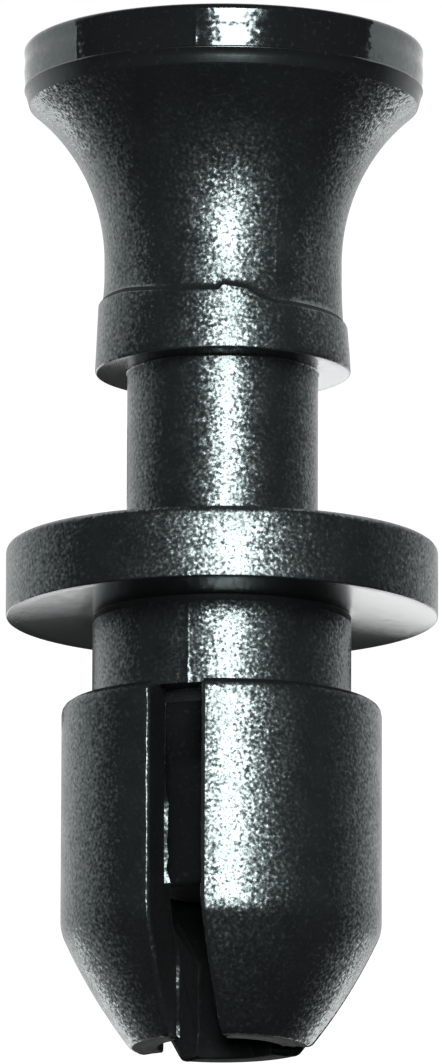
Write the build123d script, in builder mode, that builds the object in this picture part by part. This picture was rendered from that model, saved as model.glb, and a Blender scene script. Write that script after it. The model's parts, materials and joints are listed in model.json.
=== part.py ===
"""Plastic push rivet: a split sleeve that snaps into a panel hole, and a plunger that locks it.

The rivet stands on the flat face of its knob, with the nose of the sleeve up. The origin is the
middle of that face, and +Z runs along the axis from the knob to the nose. All sizes are in mm.
The plunger is shown pulled out, where a bead on its shank meets the end of the guide bore.
Pushed in, its collar meets the flange, its shank fills the barrel and its stem fills the nose,
so that the legs can't flex inwards and slip back through the hole.
"""

import os
from math import acos, degrees, sin

from build123d import *

# --- Driving dimensions of the plunger, from the face of the knob to the end of the stem ---
knob_radius = 6.09
knob_rim = 1.72            # height of the upright rim
knob_edge = 0.18           # bevel of the edge that the rivet stands on
knob_corner = 0.1          # bevel where the rim turns into the flare
flare_radius = 6.3         # hollow curve from the rim down to the waist
waist_radius = 3.61
waist_length = 1.6         # straight part between the flare and the collar
collar_step_radius = 3.74  # collar where it leaves the waist
collar_radius = 3.89       # collar at its flat stop face
collar_length = 1.83
collar_edge = 0.06
shank_radius = 2.9
bead_height = 0.15         # how far the retaining bead stands out of the shank
bead_length = 0.5
stem_radius = 1.85
stem_length = 3.75         # straight part of the stem, past its cone
stem_edge = 0.2
travel = 5.3               # how far the plunger pushes in

# --- Driving dimensions of the sleeve, from its flange to the tip of its nose ---
flange_radius = 6.55
flange_thickness = 2.2
flange_edge = 0.25         # bevel of the edge on the knob's side
flange_back_edge = 0.06    # bevel of the edge on the panel's side
neck_radius = 3.92
neck_length = 2.7          # thickness of the panel that it holds
barrel_radius = 4.84
barrel_length = 6.94
barrel_edge = 0.2          # bevel of the shoulder that snaps behind the panel
nose_length = 3.56
nose_bulge = 0.12          # how far the side of the nose bows out
tip_radius = 2.73
tip_edge = 0.12
wedge_length = 1.7         # inner cone between the bore of the barrel and the bore of the nose
lead_in = 0.2              # chamfer at the mouth of the guide bore
slot_count = 3
slot_width = 1.6
first_slot_angle = -90.0   # degrees round the axis: the first slot faces -Y

# --- Fits ---
running_clearance = 0.05   # radial, between the plunger and each bore of the sleeve
stop_gap = 0.05            # along the axis, at each stop of the plunger

# --- Plunger heights ---
flare_turn = acos(1 - (knob_radius - waist_radius) / flare_radius)
waist_start = knob_rim + flare_radius * sin(flare_turn)
collar_start = waist_start + waist_length
collar_face = collar_start + collar_length

# --- Sleeve heights: the collar stops on the flange after the plunger's travel ---
flange_face = collar_face + travel + stop_gap
bearing_face = flange_face + flange_thickness
barrel_start = bearing_face + neck_length
nose_start = barrel_start + barrel_length
tip_face = nose_start + nose_length

# --- Bores: the bead runs in the barrel, and can't pass the guide ---
guide_radius = shank_radius + running_clearance
bead_radius = shank_radius + bead_height
barrel_bore_radius = bead_radius + running_clearance
nose_bore_radius = stem_radius + running_clearance
bead_start = barrel_start + stop_gap
shank_end = bead_start + bead_length
wedge_start = shank_end + travel + stop_gap
wedge_end = wedge_start + wedge_length

# The stem's cone has the slope of the wedge, so the two lie close when the plunger is in.
wedge_slope = (barrel_bore_radius - nose_bore_radius) / wedge_length
cone_end = shank_end + (shank_radius - stem_radius) / wedge_slope
stem_end = cone_end + stem_length

os.makedirs("parts", exist_ok=True)


def ring_edge(part, radius, height):
    """The round edge of a part that lies at this radius and height."""
    rings = part.edges().filter_by(GeomType.CIRCLE).filter_by_position(Axis.Z, height - 1e-3, height + 1e-3)
    return rings.filter_by(lambda edge: abs(edge.radius - radius) < 1e-3)


# --- Plunger: knob, flare, collar, shank, retaining bead and stem, moulded as one ---
with BuildPart() as plunger:
    with BuildSketch(Plane.XZ):
        with BuildLine():
            Line((0, 0), (knob_radius, 0))
            Line((knob_radius, 0), (knob_radius, knob_rim))
            flare_centre = (waist_radius + flare_radius, waist_start)
            CenterArc(flare_centre, flare_radius, 180 + degrees(flare_turn), -degrees(flare_turn))
            Polyline(
                (waist_radius, waist_start),
                (waist_radius, collar_start),
                (collar_step_radius, collar_start),
                (collar_radius, collar_face),
                (shank_radius, collar_face),
                (shank_radius, bead_start),
                (bead_radius, bead_start),
                (bead_radius, shank_end - bead_height),
                (shank_radius, shank_end),
                (stem_radius, cone_end),
                (stem_radius, stem_end),
                (0, stem_end),
                (0, 0),
            )
        make_face()
    revolve(axis=Axis.Z)
    chamfer(ring_edge(plunger, knob_radius, 0), knob_edge)
    chamfer(ring_edge(plunger, knob_radius, knob_rim), knob_corner)
    chamfer(ring_edge(plunger, collar_radius, collar_face), collar_edge)
    chamfer(ring_edge(plunger, stem_radius, stem_end), stem_edge)
plunger.part.label = "plunger"
export_step(plunger.part, "parts/plunger.step")

# --- Sleeve: flange, neck, and a barrel and nose that the slots split into legs, moulded as one ---
with BuildPart() as sleeve:
    with BuildSketch(Plane.XZ):
        with BuildLine():
            Polyline(
                (nose_bore_radius, tip_face),
                (nose_bore_radius, wedge_end),
                (barrel_bore_radius, wedge_start),
                (barrel_bore_radius, barrel_start),
                (guide_radius, barrel_start),
                (guide_radius, flange_face),
                (flange_radius, flange_face),
                (flange_radius, bearing_face),
                (neck_radius, bearing_face),
                (neck_radius, barrel_start),
                (barrel_radius, barrel_start),
                (barrel_radius, nose_start),
            )
            SagittaArc((barrel_radius, nose_start), (tip_radius, tip_face), -nose_bulge)
            Line((tip_radius, tip_face), (nose_bore_radius, tip_face))
        make_face()
    revolve(axis=Axis.Z)
    chamfer(ring_edge(sleeve, guide_radius, flange_face), lead_in)
    chamfer(ring_edge(sleeve, flange_radius, flange_face), flange_edge)
    chamfer(ring_edge(sleeve, flange_radius, bearing_face), flange_back_edge)
    chamfer(ring_edge(sleeve, barrel_radius, barrel_start), barrel_edge)
    chamfer(ring_edge(sleeve, tip_radius, tip_face), tip_edge)
    # The slots run from the shoulder out through the tip, so that the core pulls out that way.
    slot_reach = 2 * barrel_radius
    with BuildSketch(Plane.XY.offset(barrel_start)):
        with PolarLocations(slot_reach / 2, slot_count, start_angle=first_slot_angle):
            Rectangle(slot_reach, slot_width)
    extrude(amount=barrel_length + 2 * nose_length, mode=Mode.SUBTRACT)
sleeve.part.label = "sleeve"
export_step(sleeve.part, "parts/sleeve.step")
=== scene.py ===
# %% [markdown]
# # A plastic push rivet, dressed in Blender
# The part is a snap-in fastener made of two black nylon mouldings: a sleeve, whose barrel is
# split into three legs, and a plunger, which slides in the sleeve and locks the legs. The CAD
# model holds the sizes and the motion. This lesson makes smooth, rounded copies of the two
# mouldings and gives them the finish of real ones: spark-eroded grain, a polished rim, fine
# witness lines where the mould's parts met, and edges that catch the light.

# %% Load the CAD frame
import json
from math import acos, asin, atan2, cos, degrees, hypot, pi, radians, sin

import bmesh
import bpy
from mathutils import Matrix, Vector
from mathutils import noise as noise_field


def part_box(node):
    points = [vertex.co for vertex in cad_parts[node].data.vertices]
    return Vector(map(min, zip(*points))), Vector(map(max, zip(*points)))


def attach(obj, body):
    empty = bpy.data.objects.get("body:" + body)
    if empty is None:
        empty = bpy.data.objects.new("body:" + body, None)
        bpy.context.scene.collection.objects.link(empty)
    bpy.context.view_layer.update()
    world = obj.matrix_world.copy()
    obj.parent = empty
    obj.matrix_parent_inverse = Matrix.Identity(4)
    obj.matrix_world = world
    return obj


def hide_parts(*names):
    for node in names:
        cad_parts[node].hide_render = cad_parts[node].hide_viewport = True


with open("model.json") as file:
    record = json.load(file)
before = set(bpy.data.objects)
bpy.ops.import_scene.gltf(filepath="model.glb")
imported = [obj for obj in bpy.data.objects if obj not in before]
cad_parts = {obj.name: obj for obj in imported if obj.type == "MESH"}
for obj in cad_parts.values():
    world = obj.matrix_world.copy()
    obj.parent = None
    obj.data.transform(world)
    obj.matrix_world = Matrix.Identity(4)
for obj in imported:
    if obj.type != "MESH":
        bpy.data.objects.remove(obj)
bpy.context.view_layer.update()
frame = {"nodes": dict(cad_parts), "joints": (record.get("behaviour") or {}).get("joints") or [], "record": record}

mm = 0.001
print("CAD nodes:", sorted(frame["nodes"]))

# %% [markdown]
# The frame already knows where everything is. Each height and radius that it can give is read
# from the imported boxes, mounts and joint, so the pieces made here can't drift away from the CAD
# model. The sizes that no box or mount gives are written here once, as the CAD source has them.

# %% Sizes read from the frame
mounts = {mount["name"]: mount for mount in frame["record"]["mounts"]}
plunger_low, plunger_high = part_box("plunger")
sleeve_low, sleeve_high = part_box("sleeve")

knob_radius = plunger_high.x
stem_end = plunger_high.z
flange_radius = sleeve_high.x
flange_face = sleeve_low.z
tip_face = sleeve_high.z
bearing_face = mounts["bearing_face"]["pos_m"][2]
neck_radius = mounts["neck"]["dims"]["r_mm"] * mm
barrel_start = bearing_face + mounts["neck"]["dims"]["length_mm"] * mm
barrel_radius = mounts["barrel"]["dims"]["r_mm"] * mm
nose_start = barrel_start + mounts["barrel"]["dims"]["length_mm"] * mm
travel = frame["joints"][0]["range_m"][1]
print(f"plunger from {plunger_low.z / mm:.2f} to {plunger_high.z / mm:.2f} mm")
print(f"flange at {flange_face / mm:.2f} mm")
print(f"barrel from {barrel_start / mm:.2f} to {nose_start / mm:.2f} mm")

# %% Sizes of the plunger's moulding
knob_rim = 1.72 * mm
flare_radius = 6.3 * mm
waist_radius = 3.61 * mm
waist_length = 1.6 * mm
collar_step_radius = 3.79 * mm
collar_radius = 3.89 * mm
collar_length = 1.83 * mm
shank_radius = 2.9 * mm
bead_height = 0.15 * mm
bead_length = 0.5 * mm
stem_radius = 1.85 * mm
stem_length = 3.75 * mm

# %% Sizes of the sleeve's moulding
tip_radius = 2.73 * mm
nose_bulge = 0.12 * mm
wedge_length = 1.7 * mm
lead_in = 0.2 * mm
slot_width = 1.6 * mm
slot_count = 3
first_slot = radians(-90)
clearance = 0.05 * mm

# %% [markdown]
# The camera comes before the pieces, because everything after it is judged through it. The
# rivet stands on its knob, but it is shown hanging nose down, so the camera is turned upside
# down. It looks down on the nose at a shallow angle from far away, through a long lens, and
# from a little round the side of the first slot.

# %% Camera
view_turn = radians(-17.2)       # round from the first slot
view_rise = radians(11.4)
view_distance = 0.45
view_aim = Vector((0.035 * mm, -0.011 * mm, 15.05 * mm))
view_height = 32.25 * mm         # what the frame spans, measured at the axis
view_lean = radians(0.2)         # how far the rivet leans off upright in the frame

towards_camera = Vector((
    sin(view_turn) * cos(view_rise),
    -cos(view_turn) * cos(view_rise),
    sin(view_rise),
))
upright = towards_camera.to_track_quat("Z", "Y").to_matrix().to_4x4()
camera_data = bpy.data.cameras.new("camera")
camera_data.sensor_fit = "VERTICAL"
camera_data.sensor_height = 24
camera_data.lens = camera_data.sensor_height * view_distance / view_height
camera_data.clip_start = 0.02
camera_data.clip_end = 20
camera = bpy.data.objects.new("camera", camera_data)
camera.matrix_world = (
    Matrix.Translation(view_aim + towards_camera * view_distance)
    @ upright
    @ Matrix.Rotation(pi + view_lean, 4, "Z")
)
bpy.context.scene.collection.objects.link(camera)
bpy.context.scene.camera = camera
print(f"lens {camera_data.lens:.0f} mm at {view_distance} m")

# %% [markdown]
# Both mouldings are round, so both start as half a section, drawn with a few vertices in the
# XZ plane. A corner is rounded by bevelling its vertex, and a curved side is one vertex spun
# about the centre of its curve. Drawing the section first keeps each rounding even all the way
# round, which a bevel on the finished solid would not.

# %% Helpers that draw a section
def chain(bm, points, start=None):
    """Adds vertices at (radius, height) points, joined one to the next, and returns them."""
    made = [start] if start else []
    for radius, height in points:
        vert = bm.verts.new((radius, 0, height))
        if made:
            bm.edges.new((made[-1], vert))
        made.append(vert)
    return made


def arc_from(bm, vert, centre, turn, steps):
    """Spins one vertex about a (radius, height) centre and returns the last vertex of its arc."""
    spun = bmesh.ops.spin(
        bm, geom=[vert], cent=(centre[0], 0, centre[1]), axis=(0, -1, 0), angle=turn, steps=steps,
    )
    return next(item for item in spun["geom_last"] if isinstance(item, bmesh.types.BMVert))


def round_corners(bm, corners, segments=4):
    """Rounds each (vertex, radius) corner of a section."""
    for vert, radius in corners:
        bmesh.ops.bevel(
            bm, geom=[vert], offset=radius, offset_type="OFFSET", affect="VERTICES",
            segments=segments, profile=0.5, clamp_overlap=True, material=-1,
        )


def split_long_edges(bm, longest):
    """Cuts the straight sides of a section into pieces no longer than this."""
    for edge in list(bm.edges):
        cuts = int(edge.calc_length() / longest)
        if cuts:
            bmesh.ops.subdivide_edges(bm, edges=[edge], cuts=cuts)


def spin_whole(bm, steps):
    """Spins a section once round the Z axis and closes the seam and the poles."""
    bmesh.ops.spin(
        bm, geom=bm.verts[:] + bm.edges[:], cent=(0, 0, 0), axis=(0, 0, 1),
        angle=2 * pi, steps=steps, use_merge=True,
    )
    bmesh.ops.remove_doubles(bm, verts=bm.verts, dist=0.002 * mm)
    bmesh.ops.recalc_face_normals(bm, faces=bm.faces)


# %% [markdown]
# Each mesh becomes an object in the same way. Creases sharper than 40 degrees stay crisp, the
# rest is shaded smooth, and a Weighted Normal modifier lets the large faces decide the shading,
# so that a rounded edge doesn't smear over the flat beside it.

# %% Helper that makes the object
crease_angle = radians(40)


def as_object(bm, name, body, node):
    """Turns a bmesh into a smooth piece that rides on a body and stands for its CAD node."""
    mesh = bpy.data.meshes.new(name)
    bm.to_mesh(mesh)
    bm.free()
    mesh.shade_smooth()
    mesh.set_sharp_from_angle(angle=crease_angle)
    piece = bpy.data.objects.new(name, mesh)
    bpy.context.scene.collection.objects.link(piece)
    weighted = piece.modifiers.new("even_shading", "WEIGHTED_NORMAL")
    weighted.keep_sharp = True
    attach(piece, body)
    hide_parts(node)
    print(f"{name}: {len(mesh.polygons)} faces")
    return piece


# %% [markdown]
# A mould leaves fine lines where its parts meet. A line round the moulding is a low ridge in
# the section. A line along it is made after the spin: `columns_beside` finds the columns of
# vertices round it, and `witness_line` closes the two nearest ones up on the middle one, raises
# that one and spreads the others out evenly, so that no wide flat facet is left beside the line.

# %% Helpers for the mould's witness lines
ring_half_width = 0.05 * mm
ring_height = 0.03 * mm
line_half_width = 0.022 * mm
line_break = 0.5 * mm            # how often a line fades out and comes back
line_evenness = 0.6              # lower leaves more and longer breaks in a line
line_slope = 1.4                 # half a high line's width, in times its height
spread = 6                       # how many columns on each side make room for a line
axis_reach = 1.2 * mm            # columns nearer the axis than this stay where they are


def ridge(radius, height):
    """Section points of a low ridge round a cylinder."""
    flank = radius + ring_height * 0.75
    return [
        (radius, height - ring_half_width),
        (flank, height - ring_half_width / 2),
        (radius + ring_height, height),
        (flank, height + ring_half_width / 2),
        (radius, height + ring_half_width),
    ]


def angle_from(vert, direction):
    """The turn of a vertex round the axis, from a direction, between minus pi and pi."""
    turn = atan2(vert.co.y, vert.co.x) - direction
    return atan2(sin(turn), cos(turn))


def set_angle(vert, angle):
    """Turns a vertex about the axis to this angle and keeps its radius and height."""
    radius = hypot(vert.co.x, vert.co.y)
    vert.co.x = radius * cos(angle)
    vert.co.y = radius * sin(angle)


def columns_beside(bm, direction, column_turn):
    """The columns of vertices at a direction (0), and up to `spread` more on each side of it."""
    columns = {number: [] for number in range(-spread, spread + 1)}
    for vert in bm.verts:
        column = round(angle_from(vert, direction) / column_turn)
        if column in columns and hypot(vert.co.x, vert.co.y) > axis_reach:
            columns[column].append(vert)
    return columns


def witness_line(columns, direction, height_at):
    """Raises a narrow line along a direction, as high as height_at(radius, height) says."""
    for column, verts in columns.items():
        for vert in verts:
            radius = hypot(vert.co.x, vert.co.y)
            fade = noise_field.noise(Vector((radius, direction * mm, vert.co.z)) / line_break)
            height = height_at(radius, vert.co.z) * max(line_evenness + fade, 0)
            half_turn = max(line_half_width, line_slope * height) / radius
            if column:
                share = (abs(column) - 1) / (spread - 1)
                outer = abs(angle_from(vert, direction)) * spread / abs(column)
                turn = half_turn + share * (outer - half_turn)
                set_angle(vert, direction + turn * column / abs(column))
            else:
                set_angle(vert, direction)
                vert.co.x *= 1 + height / radius
                vert.co.y *= 1 + height / radius


# %% [markdown]
# The plunger is one turned shape, from the knob that a thumb pushes to the stem that wedges the
# legs apart. Its outline is followed from the middle of the knob's face out over the rim, down
# the hollow flare and along the shank. A low ridge round the rim marks where the mould's
# polished end block met the grained halves.

# %% The plunger's section
round_steps = 360
column_turn = 2 * pi / round_steps
longest_edge = 0.4 * mm
flare_turn = acos(1 - (knob_radius - waist_radius) / flare_radius)
waist_start = knob_rim + flare_radius * sin(flare_turn)
collar_start = waist_start + waist_length
collar_face = collar_start + collar_length
bead_start = barrel_start + clearance
shank_end = bead_start + bead_length
cone_end = stem_end - stem_length
rim_line = 1.36 * mm             # height of the ridge round the rim
shoulder_radius = 5.93 * mm      # where the smooth strip past the ridge runs into the flare
shoulder_turn = acos(1 - (shoulder_radius - waist_radius) / flare_radius)
shoulder = waist_start - flare_radius * sin(shoulder_turn)
hollow_start = collar_start - 1.15 * mm
hollow_radius = 10 * mm          # the waist swells again a little before the collar
step_slope = 0.13 * mm           # height of the slope up to the collar's step
step_top = 0.02 * mm
collar_swell = 0.05 * mm

plunger_mesh = bmesh.new()
band_waves = [                   # height, and how far the polished band falls back there, in mm
    (0.2, 0.002), (0.32, 0.014), (0.42, 0.026), (0.5, 0.027), (0.62, 0.016), (0.76, 0.002),
    (0.86, 0.003), (0.98, 0.014), (1.1, 0.022), (1.2, 0.032),
]
rim = chain(plunger_mesh, [
    (0, 0), (knob_radius, 0),
    *[(knob_radius - back * mm, height * mm) for height, back in band_waves],
    *ridge(knob_radius - 0.04 * mm, rim_line), (shoulder_radius, shoulder),
])
flare_end = arc_from(
    plunger_mesh, rim[-1], (waist_radius + flare_radius, waist_start), -shoulder_turn, 40,
)
waist = chain(plunger_mesh, [(waist_radius, hollow_start)], start=flare_end)
hollow_turn = asin((collar_start - step_slope - hollow_start) / hollow_radius)
hollow_centre = (waist_radius + hollow_radius, hollow_start)
step_foot = arc_from(plunger_mesh, waist[-1], hollow_centre, -hollow_turn, 8)
shaft = chain(plunger_mesh, [
    (collar_step_radius, collar_start + step_top),
    (collar_step_radius + collar_swell, collar_start + collar_length / 2),
    (collar_radius, collar_face),
    (shank_radius, collar_face), (shank_radius, bead_start),
    (shank_radius + bead_height, bead_start),
    (shank_radius + bead_height, shank_end - bead_height), (shank_radius, shank_end),
    (stem_radius, cone_end), (stem_radius, stem_end), (0, stem_end),
], start=step_foot)
round_corners(plunger_mesh, [
    (rim[1], 0.18 * mm), (rim[-1], 0.04 * mm), (shaft[1], 0.03 * mm), (shaft[3], 0.08 * mm),
    (shaft[4], 0.06 * mm), (shaft[6], 0.04 * mm), (shaft[9], 0.2 * mm), (shaft[10], 0.2 * mm),
])
split_long_edges(plunger_mesh, longest_edge)
print(f"plunger section: {len(plunger_mesh.verts)} points")

# %% [markdown]
# The two mould halves of the plunger didn't meet quite true. At the joint the collar's step jumps
# towards the knob, and from there it wanders round the collar. A short table says how far the
# step lies along the axis at each turn, and the vertices near it are slid after the spin, less
# and less with distance, which keeps the surface closed and smooth. The polished band of the knob
# isn't quite true either: noise swells it by a few thousandths of a millimetre, which is enough
# to bend what it mirrors, and a few scores of the polishing stone run across it.

# %% The plunger
step_turn = radians(-106.1)      # where the step jumps
step_line = [                    # degrees past the jump, and mm along the axis
    (-180, 0.0), (-89, -0.28), (-52, -0.24), (-20, -0.03), (-0.5, 0.0),
    (0.5, -0.17), (12, -0.06), (18, 0.2), (26, 0.34), (90, 0.4), (180, 0.0),
]
step_reach = 1.1 * mm            # how far from the step the vertices still slide
step_core = 0.1                  # the share of that reach where they slide in full
plunger_parting = radians(-133.7)
band_scores = (radians(-99.1), radians(-128.2), radians(-60.0), radians(21.0))
band_ripple = 0.007 * mm
band_ripple_size = 0.8 * mm
band_depth = 0.1 * mm            # vertices this near the knob's outside belong to the band
fine_line = 0.006 * mm
parting_start = waist_start - 1.2 * mm


def parting_line(radius, height):
    """How high the joint of the mould halves stands out of the waist and the collar."""
    return fine_line if parting_start < height < collar_face else 0


def score_line(radius, height):
    """How high a score stands out of the polished band."""
    return fine_line if height < rim_line else 0


def step_slide(turn):
    """How far the collar's step lies along the axis, at a turn past the jump."""
    for (low, low_slide), (high, high_slide) in zip(step_line, step_line[1:]):
        if low <= degrees(turn) <= high:
            share = (degrees(turn) - low) / (high - low)
            return (low_slide + share * (high_slide - low_slide)) * mm
    return 0


spin_whole(plunger_mesh, round_steps)
lines = [(plunger_parting, parting_line), (plunger_parting + pi, parting_line)]
lines += [(direction, score_line) for direction in band_scores]
for direction, height_at in lines:
    witness_line(columns_beside(plunger_mesh, direction, column_turn), direction, height_at)
for vert in plunger_mesh.verts:
    radius = hypot(vert.co.x, vert.co.y)
    if vert.co.z < rim_line and radius > knob_radius - band_depth:
        place = Vector((vert.co.x, vert.co.y, vert.co.z / 2))
        swell = noise_field.noise(place / band_ripple_size)
        vert.co.x *= 1 + band_ripple * swell / radius
        vert.co.y *= 1 + band_ripple * swell / radius
    nearness = min(1 + step_core - abs(vert.co.z - collar_start) / step_reach, 1)
    if nearness > 0:
        vert.co.z += step_slide(-angle_from(vert, step_turn)) * nearness
plunger = as_object(plunger_mesh, "plunger_moulding", "plunger", "plunger")

# %% [markdown]
# The sleeve is spun from one closed section too, flange and legs together. Then the slots are
# opened: the faces of the legs that lie in a slot's sector are deleted, the hole under the
# flange is bridged and the cut sides of the legs are filled. The columns are turned at the very
# end so that the sides of a slot lie flat and parallel, as the mould's blade leaves them. Made
# this way the sleeve is one closed skin, with no boolean and no slivers.

# %% The sleeve's section
guide_radius = shank_radius + clearance
barrel_bore = shank_radius + bead_height + clearance
nose_bore = stem_radius + clearance
wedge_start = shank_end + travel + clearance
wedge_end = wedge_start + wedge_length


def curve_centre(start, end, bulge):
    """The centre and the turn of an arc that bows out by a bulge between two points."""
    chord = Vector(end) - Vector(start)
    curve = (chord.length ** 2 / 4 + bulge ** 2) / (2 * bulge)
    inward = Vector((-chord.y, chord.x)).normalized()
    centre = Vector(start) + chord / 2 + inward * (curve - bulge)
    return centre, 2 * asin(chord.length / 2 / curve)


neck_foot = 0.2 * mm             # a dull ring where the neck meets the bearing face
neck_foot_depth = 0.02 * mm
neck_foot_slope = 0.04 * mm
sleeve_mesh = bmesh.new()
outside = chain(sleeve_mesh, [
    (guide_radius, flange_face), (flange_radius, flange_face), (flange_radius, bearing_face),
    (neck_radius - neck_foot_depth, bearing_face),
    (neck_radius - neck_foot_depth, bearing_face + neck_foot),
    (neck_radius, bearing_face + neck_foot + neck_foot_slope), (neck_radius, barrel_start),
    (barrel_radius, barrel_start), (barrel_radius, nose_start),
])
nose_centre, nose_turn = curve_centre(
    (barrel_radius, nose_start), (tip_radius, tip_face), nose_bulge,
)
tip = arc_from(sleeve_mesh, outside[-1], nose_centre, nose_turn, 16)
print(f"nose ends at {tip.co.x / mm:.3f}, {tip.co.z / mm:.3f}")
print(f"wanted {tip_radius / mm:.3f}, {tip_face / mm:.3f}")
inside = chain(sleeve_mesh, [
    (nose_bore, tip_face), (nose_bore, wedge_end), (barrel_bore, wedge_start),
    (barrel_bore, barrel_start), (guide_radius, barrel_start),
], start=tip)
sleeve_mesh.edges.new((inside[-1], outside[0]))
round_corners(sleeve_mesh, [
    (outside[1], 0.25 * mm), (outside[2], 0.06 * mm), (outside[3], 0.03 * mm),
    (outside[7], 0.32 * mm), (outside[8], 1.4 * mm), (tip, 0.12 * mm), (inside[1], 0.06 * mm),
])
round_corners(sleeve_mesh, [(outside[0], lead_in)], segments=1)
split_long_edges(sleeve_mesh, longest_edge)
print(f"sleeve section: {len(sleeve_mesh.verts)} points")

# %% Spin it and open the slots
slot_columns = 2 * spread
sector = 2 * pi / slot_count
half_slot = slot_columns / 2 * column_turn
near = 0.01 * mm


def turn_in_sector(vert):
    """The turn of a vertex from the middle of the slot nearest to it."""
    turn = angle_from(vert, first_slot)
    return turn - sector * round(turn / sector)


def on_leg(point):
    """Whether a point lies past the root of the legs, or out on their shoulder."""
    radius = hypot(point.x, point.y)
    at_shoulder = abs(point.z - barrel_start) < near and radius > neck_radius + near
    return point.z > barrel_start + near or at_shoulder


spin_whole(sleeve_mesh, round_steps)
bmesh.ops.rotate(
    sleeve_mesh, verts=sleeve_mesh.verts, cent=(0, 0, 0),
    matrix=Matrix.Rotation(first_slot, 3, "Z"),
)
slot_reach = half_slot + column_turn / 4
in_slot = {vert for vert in sleeve_mesh.verts if abs(turn_in_sector(vert)) < slot_reach}
cut = [
    face for face in sleeve_mesh.faces
    if on_leg(face.calc_center_median()) and all(vert in in_slot for vert in face.verts)
]
bmesh.ops.delete(sleeve_mesh, geom=cut, context="FACES")
slot_columns_beside = columns_beside(sleeve_mesh, first_slot, column_turn)
leg_columns_beside = columns_beside(sleeve_mesh, first_slot + pi, column_turn)

# %% Close the root and the sides of the legs
for number in range(slot_count):
    middle = first_slot + number * sector
    arcs = [
        edge for edge in sleeve_mesh.edges
        if edge.is_boundary
        and all(abs(vert.co.z - barrel_start) < near for vert in edge.verts)
        and all(abs(angle_from(vert, middle)) < sector / 2 for vert in edge.verts)
        and abs(hypot(*edge.verts[0].co.xy) - hypot(*edge.verts[1].co.xy)) < near
    ]
    bmesh.ops.bridge_loops(sleeve_mesh, edges=arcs)
open_edges = [edge for edge in sleeve_mesh.edges if edge.is_boundary]
sides = bmesh.ops.holes_fill(sleeve_mesh, edges=open_edges, sides=0)["faces"]
print(f"{len(cut)} faces cut, {len(sides)} leg sides filled")

# %% Turn the columns so that each slot has flat, parallel sides
for vert in sleeve_mesh.verts:
    radius = hypot(vert.co.x, vert.co.y)
    turn = turn_in_sector(vert)
    middle = angle_from(vert, 0) - turn
    slot_turn = asin(slot_width / 2 / radius)
    if abs(turn) < slot_reach:
        turned = turn / half_slot * slot_turn
    else:
        share = (abs(turn) - half_slot) / (sector / 2 - half_slot)
        turned = (slot_turn + share * (sector / 2 - slot_turn)) * (1 if turn > 0 else -1)
    set_angle(vert, middle + turned)

# %% Witness lines where the sleeve's mould halves met
flash_length = 0.7 * mm          # at the root of a leg the line swells to a lip of flash
flash_height = 0.06 * mm
neck_line_height = 0.008 * mm
leg_line_height = 0.01 * mm
neck_line_turn = first_slot - radians(2.2)


def neck_line(radius, height):
    """How high the line stands out of the neck."""
    if radius < neck_radius - near or not bearing_face + near < height < barrel_start - near:
        return 0
    return flash_height if height > barrel_start - flash_length else neck_line_height


def leg_line(radius, height):
    """How high the line stands out of the neck, the barrel and the nose, and not in the bore."""
    past_wedge = height > wedge_end and radius > (nose_bore + tip_radius) / 2
    outside_face = height > bearing_face + near and (radius > neck_radius - near or past_wedge)
    return leg_line_height if outside_face else 0


witness_line(slot_columns_beside, neck_line_turn, neck_line)
witness_line(leg_columns_beside, first_slot + pi, leg_line)

# %% [markdown]
# A blade of steel in the mould leaves each slot. Its outer edges come out a little round, and
# they waver where the melt didn't quite fill them. Along the inner edges some melt crept past
# the blade and left a burr, a thin torn lip that starts a little past the root. The two show as
# broken bright lines, one on the edge and one deep in the slot. Both come from the vertices of
# those edges, slid straight across the slot by noise, because a displacement of the whole
# surface would need a far finer mesh.

# %% Round the edges of the slots
slot_edge = 0.16 * mm
side_edges = {
    edge for side in sides for edge in side.edges
    if not all(abs(vert.co.z - barrel_start) < near for vert in edge.verts)
}
bmesh.ops.bevel(
    sleeve_mesh, geom=list(side_edges), offset=slot_edge, offset_type="OFFSET", affect="EDGES",
    segments=3, profile=0.5, clamp_overlap=False, material=-1,
)

# %% Helpers that move an edge of a slot
burr_start = 2.4 * mm            # how far past the root the burr begins
burr_break = 0.3 * mm            # how often it tears off and comes back
burr_evenness = 0.75             # lower tears more of it off
burr_swing = 1.2                 # how much the noise adds to its strength and takes away


def slide(vert, distance, forward=0.0):
    """Moves a vertex straight across its slot, away from the slot's middle, and out along it."""
    radius = hypot(vert.co.x, vert.co.y)
    turn = turn_in_sector(vert)
    middle = angle_from(vert, 0) - turn
    along = radius * cos(turn) + forward
    across = radius * sin(turn) + (distance if turn > 0 else -distance)
    vert.co.x = along * cos(middle) - across * sin(middle)
    vert.co.y = along * sin(middle) + across * cos(middle)


def burr_at(height):
    """How strong the burr is along the slot: none at its root, broken up further on."""
    grown = min(max((height - barrel_start - burr_start) / mm, 0), 1)
    torn = noise_field.noise(Vector((0, 0, height)) / burr_break)
    return max(grown * (burr_evenness + burr_swing * torn), 0)


# %% Waver the outer edges and leave a burr along the inner ones
burr_height = 0.055              # as a share of the bore's radius
burr_forward = 0.04 * mm
edge_waver = 0.035 * mm
waver_size = 0.17 * mm
edge_near = 0.003 * mm           # the rounded edges lie between these two, past a slot's side
edge_far = 0.09 * mm
inner_reach = 0.4 * mm           # an edge nearer the bore than this is an inner one
burr_far = 0.04 * mm             # of an inner edge, only the row by the slot becomes the burr
bore_reach = 0.12 * mm
burred = 0
for vert in sleeve_mesh.verts:
    radius = hypot(vert.co.x, vert.co.y)
    past_side = abs(radius * sin(turn_in_sector(vert))) - slot_width / 2
    if vert.co.z < barrel_start + near or not edge_near < past_side < edge_far:
        continue
    bore = nose_bore if vert.co.z > wedge_end else barrel_bore
    if radius > bore + inner_reach:
        slide(vert, edge_waver * noise_field.noise(vert.co / waver_size))
    elif past_side < burr_far and abs(radius - bore) < bore_reach:
        strength = burr_at(vert.co.z)
        slide(vert, -burr_height * bore * strength, burr_forward * min(strength, 1))
        burred += 1
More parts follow.
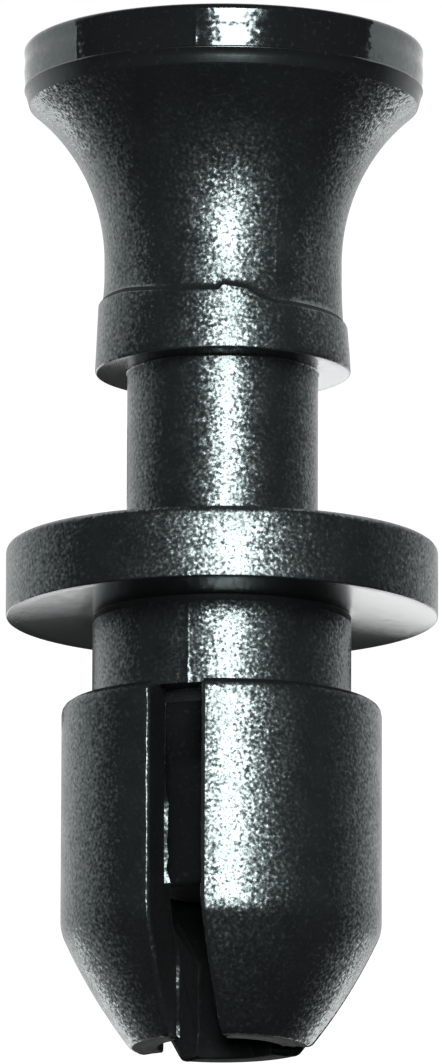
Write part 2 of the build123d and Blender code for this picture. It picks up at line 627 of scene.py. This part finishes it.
print(f"burr along {burred} points")

# %% The sleeve
bmesh.ops.recalc_face_normals(sleeve_mesh, faces=sleeve_mesh.faces)
if sleeve_mesh.calc_volume(signed=True) < 0:
    bmesh.ops.reverse_faces(sleeve_mesh, faces=sleeve_mesh.faces)
loose = [edge for edge in sleeve_mesh.edges if not edge.is_manifold]
print(f"sleeve volume {sleeve_mesh.calc_volume() * 1e9:.0f} mm3, open edges {len(loose)}")
sleeve = as_object(sleeve_mesh, "sleeve_moulding", "sleeve", "sleeve")

# %% [markdown]
# The black of moulded nylon isn't one flat colour. The pigment clouds a little where the melt
# flowed, and the skin has flecks a shade lighter where it has been rubbed. This node group mixes
# those two over the object, and puts out a colour, so any nylon here can use it. Pointiness
# would be the usual way to find rubbed edges, but on a part this small it drew a pale stripe
# down the nose, where there is no edge.

# %% Node helpers
def new_group(name, inputs, outputs):
    """Makes a shader node group with named sockets, and returns it with its two end nodes."""
    group = bpy.data.node_groups.new(name, "ShaderNodeTree")
    sockets = group.interface
    for socket_name, socket_type, value in inputs:
        socket = sockets.new_socket(name=socket_name, in_out="INPUT", socket_type=socket_type)
        socket.default_value = value
    for socket_name, socket_type in outputs:
        sockets.new_socket(name=socket_name, in_out="OUTPUT", socket_type=socket_type)
    start = group.nodes.new("NodeGroupInput")
    end = group.nodes.new("NodeGroupOutput")
    return group, start, end


def add_node(tree, kind, settings, **inputs):
    """Adds a node, sets its options, and sets or links its inputs by name."""
    node = tree.nodes.new(kind)
    for option, value in settings.items():
        setattr(node, option, value)
    for socket_name, value in inputs.items():
        connect(tree, node.inputs[socket_name.replace("_", " ")], value)
    return node


def connect(tree, socket, value):
    """Links an output to a socket, or sets the socket's own value."""
    if isinstance(value, bpy.types.NodeSocket):
        tree.links.new(value, socket)
    else:
        socket.default_value = value


def calculate(tree, operation, first, second):
    """A Math node's result."""
    node = tree.nodes.new("ShaderNodeMath")
    node.operation = operation
    connect(tree, node.inputs[0], first)
    connect(tree, node.inputs[1], second)
    return node.outputs[0]


def calculate_vector(tree, operation, first, second=None, scale=None):
    """A Vector Math node's vector."""
    node = tree.nodes.new("ShaderNodeVectorMath")
    node.operation = operation
    connect(tree, node.inputs[0], first)
    if second is not None:
        connect(tree, node.inputs[1], second)
    if scale is not None:
        connect(tree, node.inputs["Scale"], scale)
    return node.outputs["Vector"]


def remap(tree, value, low, high, new_low, new_high):
    """A value moved from one range to another, and held inside the new one."""
    node = add_node(
        tree, "ShaderNodeMapRange", {"clamp": True},
        Value=value, From_Min=low, From_Max=high, To_Min=new_low, To_Max=new_high,
    )
    return node.outputs["Result"]


def mix_colours(tree, share, first, second):
    """Two colours mixed by a share from 0 to 1."""
    node = tree.nodes.new("ShaderNodeMix")
    node.data_type = "RGBA"
    connect(tree, node.inputs["Factor"], share)
    connect(tree, node.inputs[6], first)
    connect(tree, node.inputs[7], second)
    return node.outputs[2]


def noise(tree, place, size, detail):
    """Noise whose blotches are about this many metres across."""
    node = add_node(
        tree, "ShaderNodeTexNoise", {"noise_dimensions": "3D"},
        Vector=place, Scale=1 / size, Detail=detail,
    )
    return node.outputs["Fac"]


# %% Node group: clouded pigment
group, start, end = new_group(
    "clouded_pigment",
    [
        ("Colour", "NodeSocketColor", (0.011, 0.0128, 0.0132, 1)),
        ("Rubbed", "NodeSocketColor", (0.02, 0.023, 0.0235, 1)),
    ],
    [("Colour", "NodeSocketColor")],
)
place = group.nodes.new("ShaderNodeTexCoord").outputs["Object"]
clouds = noise(group, place, 2.4 * mm, detail=4)
flecks = noise(group, place, 0.16 * mm, detail=2)
deep_black = (0.003, 0.0036, 0.0038, 1)
deep = mix_colours(group, 0.35, start.outputs["Colour"], deep_black)
clouded = mix_colours(group, remap(group, clouds, 0.3, 0.7, 0, 1), deep, start.outputs["Colour"])
rubbed = remap(group, flecks, 0.6, 0.72, 0, 1)
connect(group, end.inputs["Colour"], mix_colours(group, rubbed, clouded, start.outputs["Rubbed"]))
clouded_pigment = group

# %% [markdown]
# The mould was spark-eroded, which leaves a skin of tiny round craters about a tenth of a
# millimetre across. They break the bright streak up into dots: dark ones in its middle, bright
# ones at its fringe. A bump map would draw the craters' long rims instead, like leather, so the
# group leans the surface's normal by three noises at once, one for each direction. Its inputs
# are the size of the craters and how far they lean, and it puts out a normal.

# %% Node group: spark-eroded grain
group, start, end = new_group(
    "spark_grain",
    [("Size", "NodeSocketFloat", 0.1 * mm), ("Lean", "NodeSocketFloat", 0.5)],
    [("Normal", "NodeSocketVector")],
)
place = group.nodes.new("ShaderNodeTexCoord").outputs["Object"]
scale = calculate(group, "DIVIDE", 1.0, start.outputs["Size"])
craters = add_node(
    group, "ShaderNodeTexNoise", {"noise_dimensions": "3D"},
    Vector=place, Scale=scale, Detail=1.0,
).outputs["Color"]
surface = group.nodes.new("ShaderNodeNewGeometry").outputs["Normal"]
centred = calculate_vector(group, "SUBTRACT", craters, (0.5, 0.5, 0.5))
lean = calculate_vector(group, "SCALE", centred, scale=start.outputs["Lean"])
leaning = calculate_vector(group, "ADD", surface, lean)
connect(group, end.inputs["Normal"], calculate_vector(group, "NORMALIZE", leaning))
spark_grain = group


# %% [markdown]
# One nylon has four finishes here, because each part of a mould has a skin of its own. The
# outside is grained by the spark. The band round the knob was formed by a block that had been
# polished, and mirrors like glass. The two flat faces that stop on something, and the strip past
# the rim, are ground smooth. The inside of the sleeve, and the little that shows of the plunger
# there, is dull, as a bare steel core leaves it. So are a thin ring at the foot of the neck and
# the slope of the collar's step. All four share both groups, and differ in how big the craters
# are, how far they lean, and how rough and how glossy the shader is.

# %% Helper that makes a nylon
def nylon(name, grain_size, lean):
    """A black nylon with clouded pigment and a grain, its node tree and its shader."""
    material = bpy.data.materials.new(name)
    material.use_nodes = True
    tree = material.node_tree
    shader = tree.nodes["Principled BSDF"]
    pigment = tree.nodes.new("ShaderNodeGroup")
    pigment.node_tree = clouded_pigment
    grain = tree.nodes.new("ShaderNodeGroup")
    grain.node_tree = spark_grain
    grain.inputs["Size"].default_value = grain_size
    grain.inputs["Lean"].default_value = lean
    connect(tree, shader.inputs["Base Color"], pigment.outputs["Colour"])
    connect(tree, shader.inputs["Normal"], grain.outputs["Normal"])
    shader.inputs["Specular Tint"].default_value = (0.84, 1, 1, 1)
    return material, tree, shader


# %% Material: grained nylon
satin = (0.27, 0.34)             # the roughness drifts between these two, in patches
grained, tree, shader = nylon("grained_nylon", 0.105 * mm, 0.6)
place = tree.nodes.new("ShaderNodeTexCoord").outputs["Object"]
patches = noise(tree, place, 0.9 * mm, detail=3)
connect(tree, shader.inputs["Roughness"], remap(tree, patches, 0.3, 0.7, *satin))
shader.inputs["IOR"].default_value = 1.65
shader.inputs["Specular IOR Level"].default_value = 1.0

# %% Material: polished nylon
polished, tree, shader = nylon("polished_nylon", 0.16 * mm, 0.15)
shader.inputs["Roughness"].default_value = 0.12
shader.inputs["IOR"].default_value = 1.53
shader.inputs["Specular IOR Level"].default_value = 0.8

# %% Material: smooth nylon
smooth, tree, shader = nylon("smooth_nylon", 0.3 * mm, 0.04)
shader.inputs["Roughness"].default_value = 0.24
shader.inputs["IOR"].default_value = 1.53
shader.inputs["Specular IOR Level"].default_value = 0.8

# %% Material: dull nylon
dull, tree, shader = nylon("dull_nylon", 0.1 * mm, 0.3)
shader.inputs["Roughness"].default_value = 0.6
shader.inputs["IOR"].default_value = 1.45
shader.inputs["Specular IOR Level"].default_value = 0.2

# %% [markdown]
# The mouldings are painted face by face. Where a finish begins and ends follows from the shape:
# from a face's height, its distance from the axis and the way it looks.

# %% Paint the mouldings
finishes = [grained, polished, smooth, dull]
flat_faces = (collar_face, bearing_face)
step_zone = 0.6 * mm             # the collar's step wanders this far at most
facing_up = 0.9                  # how far a face has to look up to count as one of those two
facing_down = 0.4                # and how far down, to count as the slope of the collar's step
inward = 0.35                    # a sleeve face that looks outward less lines a slot or a bore


def finish_of(face, piece):
    """The finish of a face of a moulding."""
    radius = hypot(face.center.x, face.center.y)
    height = face.center.z
    outward = (face.normal.x * face.center.x + face.normal.y * face.center.y) / max(radius, near)
    if height < rim_line:
        return polished
    if height < shoulder:
        return smooth
    if face.normal.z > facing_up and any(abs(height - flat) < near for flat in flat_faces):
        return smooth
    if bearing_face < height < bearing_face + neck_foot and radius < neck_radius + near:
        return dull
    if abs(height - collar_start) < step_zone and face.normal.z < -facing_down:
        return dull
    if height > barrel_start + near and (piece is plunger or outward < inward):
        return dull
    return grained


for piece in (plunger, sleeve):
    for material in finishes:
        piece.data.materials.append(material)
    for face in piece.data.polygons:
        face.material_index = finishes.index(finish_of(face, piece))
    for slot, material in enumerate(finishes):
        count = sum(face.material_index == slot for face in piece.data.polygons)
        print(f"{piece.name}: {count} faces of {material.name}")

# %% [markdown]
# Glossy black is drawn by what it mirrors. The studio is dark in front and white behind, with a
# soft edge between them, so the sides of the rivet get a pale rim that fades into black. Both
# the floor and the world follow that edge, so the helper below works it out for either of them.

# %% Where the studio is white
white_turn = view_turn - radians(7)
white_edge = (0.13, 0.85)        # cosine to the middle of the white, where it begins and is full


def whiteness_behind(tree, direction, dark):
    """How white the studio is in a direction: dark in front, white behind, with a soft edge."""
    facing = calculate_vector(tree, "NORMALIZE", direction)
    along = tree.nodes.new("ShaderNodeVectorMath")
    along.operation = "DOT_PRODUCT"
    connect(tree, along.inputs[0], facing)
    connect(tree, along.inputs[1], Vector((-sin(white_turn), cos(white_turn), 0)))
    return remap(tree, along.outputs["Value"], *white_edge, dark, 1)


def studio_piece(bm, name, material):
    """Turns a bmesh, built for a camera that looks along Y, into an object that faces ours."""
    bmesh.ops.rotate(
        bm, verts=bm.verts, cent=(0, 0, 0), matrix=Matrix.Rotation(view_turn, 3, "Z"),
    )
    mesh = bpy.data.meshes.new(name)
    bm.to_mesh(mesh)
    bm.free()
    mesh.materials.append(material)
    piece = bpy.data.objects.new(name, mesh)
    bpy.context.scene.collection.objects.link(piece)
    return piece


# %% [markdown]
# The floor is a white sheet that the rivet stands on. It stops under the front of the knob, as
# a sheet of paper would on the edge of a table, because the polished band mirrors all that lies
# before it. A little light of its own shows it white to the camera. In reflections it is white
# near the rivet and behind it, and not in front, like the world.

# %% Paper
lit_reach = (15 * mm, 30 * mm)   # reflections see the sheet white up to here, then it fades
paper_glow = 0.95
paper = bpy.data.materials.new("paper")
paper.use_nodes = True
tree = paper.node_tree
shader = tree.nodes["Principled BSDF"]
shader.inputs["Base Color"].default_value = (0.85, 0.85, 0.85, 1)
shader.inputs["Roughness"].default_value = 0.9
shader.inputs["Specular IOR Level"].default_value = 0
place = tree.nodes.new("ShaderNodeTexCoord").outputs["Object"]
reach = tree.nodes.new("ShaderNodeVectorMath")
reach.operation = "LENGTH"
connect(tree, reach.inputs[0], place)
near_rivet = remap(tree, reach.outputs["Value"], *lit_reach, 1, 0)
lit = calculate(tree, "MAXIMUM", near_rivet, whiteness_behind(tree, place, 0))
rays = tree.nodes.new("ShaderNodeLightPath")
seen = calculate(tree, "MULTIPLY", rays.outputs["Is Glossy Ray"], lit)
seen = calculate(tree, "MAXIMUM", seen, rays.outputs["Is Camera Ray"])
seen = calculate(tree, "MAXIMUM", seen, rays.outputs["Is Transmission Ray"])
shader.inputs["Emission Color"].default_value = (1, 1, 1, 1)
connect(tree, shader.inputs["Emission Strength"], calculate(tree, "MULTIPLY", seen, paper_glow))

# %% Floor
floor_front = 4.0 * mm           # how far the sheet reaches in front of the axis
floor_reach = 1.5
floor_mesh = bmesh.new()
bmesh.ops.create_grid(floor_mesh, x_segments=1, y_segments=1, size=floor_reach)
bmesh.ops.translate(floor_mesh, verts=floor_mesh.verts, vec=(0, floor_reach - floor_front, 0))
floor = studio_piece(floor_mesh, "floor", paper)
print(f"floor: {len(floor.data.polygons)} face, {2 * floor_reach} m wide")

# %% [markdown]
# The world is a dark room with a white wall behind the rivet. The wall isn't endless: it fades
# out with height, so that the nose, which looks up, isn't washed out by it. The camera sees
# white everywhere, in front too.

# %% World
room_strength = 0.015
wall_top = (0.22, 0.62)          # sine of the height where the wall begins to fade, and has faded
wall_rest = 0.1
world = bpy.data.worlds.new("studio")
bpy.context.scene.world = world
world.use_nodes = True
tree = world.node_tree
background = tree.nodes["Background"]
rays = tree.nodes.new("ShaderNodeLightPath")
direction = tree.nodes.new("ShaderNodeTexCoord").outputs["Generated"]
behind = whiteness_behind(tree, direction, room_strength)
height = add_node(tree, "ShaderNodeSeparateXYZ", {}, Vector=direction).outputs["Z"]
behind = calculate(tree, "MULTIPLY", behind, remap(tree, height, *wall_top, 1, wall_rest))
shown = calculate(tree, "MAXIMUM", behind, rays.outputs["Is Camera Ray"])
connect(tree, background.inputs["Strength"], shown)
background.inputs["Color"].default_value = (1, 1, 1, 1)

# %% [markdown]
# Two soft lamps light it. The key lamp hangs in front, a little to one side, and makes the streak
# down the grained faces and the clear reflection in the knob's polished band. Both are as wide as
# the lamp looks from the rivet, so its size and distance matter more than its power. The back
# lamp stands behind and is mirrored only in the faces that look up.

# %% Lamps
lamp_distance = 0.6


def soft_lamp(name, turn, rise, size, energy):
    """A rectangular area lamp aimed at the rivet, out of the camera's sight."""
    towards = Vector((sin(turn) * cos(rise), -cos(turn) * cos(rise), sin(rise)))
    lamp_data = bpy.data.lights.new(name, "AREA")
    lamp_data.shape = "RECTANGLE"
    lamp_data.size, lamp_data.size_y = size
    lamp_data.energy = energy
    lamp = bpy.data.objects.new(name, lamp_data)
    turned = towards.to_track_quat("Z", "Y").to_matrix().to_4x4()
    lamp.matrix_world = Matrix.Translation(view_aim + towards * lamp_distance) @ turned
    lamp.visible_camera = False
    bpy.context.scene.collection.objects.link(lamp)
    print(f"{name} lamp: {energy} W, {size[0]} by {size[1]} m")


soft_lamp("key", radians(-22.4), radians(-7.5), (0.2, 0.366), 4.5)
soft_lamp("back", view_turn + pi, radians(13), (0.9, 0.12), 0.8)

# %% [markdown]
# A black flag is a piece of card that a studio puts close to the object, to darken what a glossy
# face mirrors. Three of them stand behind the rivet, and only reflections see them. They are painted
# shadow: black cards put where the rivet's own shade on a sheet behind it would lie. The first
# shades the back of the flange's underside off into black, and leaves a white crescent on each
# side. The second does the same to one side of the collar's face, and the third keeps the white
# wall out of the end of the tip.

# %% Black flags of painted shadow
shadow_flag_distance = 6.85 * mm
flange_shadow_flag = [                  # mm to the left and mm above the bearing face
    (-7.5, -1.0), (-7.5, 0.7), (-4.2, 1.5), (0, 3.0),
    (4.0, 3.0), (4.4, 2.3), (7.5, 1.8), (7.5, -1.0),
]
collar_shadow_flag = [(left, up + (collar_face - bearing_face) / mm) for left, up in (
    (2.4, 0.2), (2.4, 2.6), (5.0, 2.6), (5.0, 0.2),
)]
tip_shadow_flag = [(-3.4, 11.0), (-3.4, 15.6), (3.4, 15.6), (3.4, 11.0)]
# Painted shadow: the cards are near black and stand in for the rivet's shade on the sheet behind it.
painted_shadow_card = bpy.data.materials.new("painted_shadow_card")
painted_shadow_card.use_nodes = True
shader = painted_shadow_card.node_tree.nodes["Principled BSDF"]
shader.inputs["Base Color"].default_value = (0.004, 0.004, 0.004, 1)
shader.inputs["Specular IOR Level"].default_value = 0

shadow_flag_mesh = bmesh.new()
for outline in (flange_shadow_flag, collar_shadow_flag, tip_shadow_flag):
    corners = [
        shadow_flag_mesh.verts.new((left * mm, shadow_flag_distance, bearing_face + up * mm))
        for left, up in outline
    ]
    bmesh.ops.contextual_create(shadow_flag_mesh, geom=corners)
# The painted-shadow cards become one object, which only reflections see.
shadow_flag = studio_piece(shadow_flag_mesh, "painted_shadow_cards", painted_shadow_card)
shadow_flag.visible_camera = False
shadow_flag.visible_diffuse = False
shadow_flag.visible_shadow = False
print(f"flags: {len(shadow_flag.data.polygons)} cards")

# %% View
bpy.context.scene.view_settings.view_transform = "Standard"
